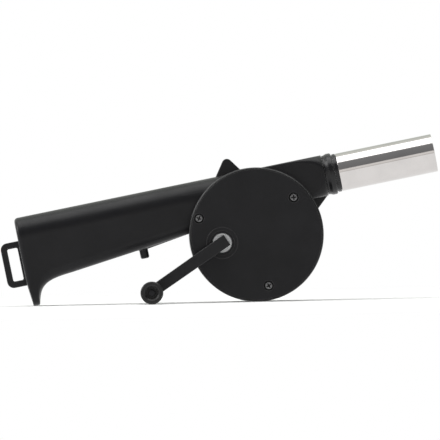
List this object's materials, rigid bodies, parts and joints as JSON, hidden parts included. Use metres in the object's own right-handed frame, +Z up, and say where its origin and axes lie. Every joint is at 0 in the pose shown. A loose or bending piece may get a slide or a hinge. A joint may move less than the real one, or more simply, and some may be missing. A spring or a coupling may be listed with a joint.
{
  "type": "hand crank air blower",
  "caption": "Hand-held crank air blower: plastic handle with hook, round geared fan drum, crank with spinning knob and steel nozzle tube, for fanning coals in a forge or grill.",
  "frame": {"origin": "middle of the bounding box on the floor that the drum and the hook's tip stand on", "axes": "+X from the handle's tail to the nozzle, +Y from the crank side to the intake side, +Z up"},
  "size_m": [0.2766, 0.072, 0.1031],
  "materials": {
    "black_plastic": "satin moulded plastic, near black",
    "cover_plastic": "fine matt moulded plastic, near black",
    "crank_plastic": "satin moulded plastic, black",
    "grey_nylon": "smooth light grey nylon",
    "pale_nylon": "natural nylon",
    "screw_steel": "zinc-plated steel",
    "shaft_steel": "ground steel",
    "bronze": "sintered bronze",
    "stainless": "polished stainless steel"
  },
  "bodies": {
    "housing": {"front_shell": "black_plastic", "rear_shell": "black_plastic", "gear_cover": "cover_plastic", "front_bush": "bronze", "rear_bush": "bronze", "idler_axle": "shaft_steel", "nozzle_collar": "black_plastic", "nozzle_tube": "stainless", "cover_screw_1": "screw_steel", "cover_screw_2": "screw_steel", "cover_screw_3": "screw_steel", "body_screw_1": "screw_steel", "body_screw_2": "screw_steel", "body_screw_3": "screw_steel", "body_screw_4": "screw_steel", "body_screw_5": "screw_steel"},
    "crank": {"crank_gear": "grey_nylon", "crank_arm": "crank_plastic", "crank_screw": "screw_steel", "knob_pin": "screw_steel"},
    "knob": {"crank_knob": "crank_plastic"},
    "idler": {"idler_gear": "pale_nylon"},
    "fan": {"fan_shaft": "shaft_steel", "fan_pinion": "pale_nylon", "impeller": "black_plastic"}
  },
  "joints": [
    {"name": "crank_turn", "type": "hinge", "parent": "housing", "child": "crank", "pos_m": [0.00112, 0.01805, 0.03738], "axis": [0, 1, 0], "continuous": true},
    {"name": "knob_spin", "type": "hinge", "parent": "crank", "child": "knob", "pos_m": [-0.04393, 0.01805, 0.00724], "axis": [0, 1, 0], "continuous": true},
    {"name": "idler_spin", "type": "hinge", "parent": "housing", "child": "idler", "pos_m": [0.01184, 0.01805, 0.05555], "axis": [0, 1, 0], "continuous": true},
    {"name": "fan_spin", "type": "hinge", "parent": "housing", "child": "fan", "pos_m": [0.02282, 0.01805, 0.04218], "axis": [0, 1, 0], "continuous": true}
  ],
  "couplings": [
    {"joint": "idler_spin", "follows": "crank_turn", "ratio": -3.2},
    {"joint": "fan_spin", "follows": "crank_turn", "ratio": 12.089}
  ]
}
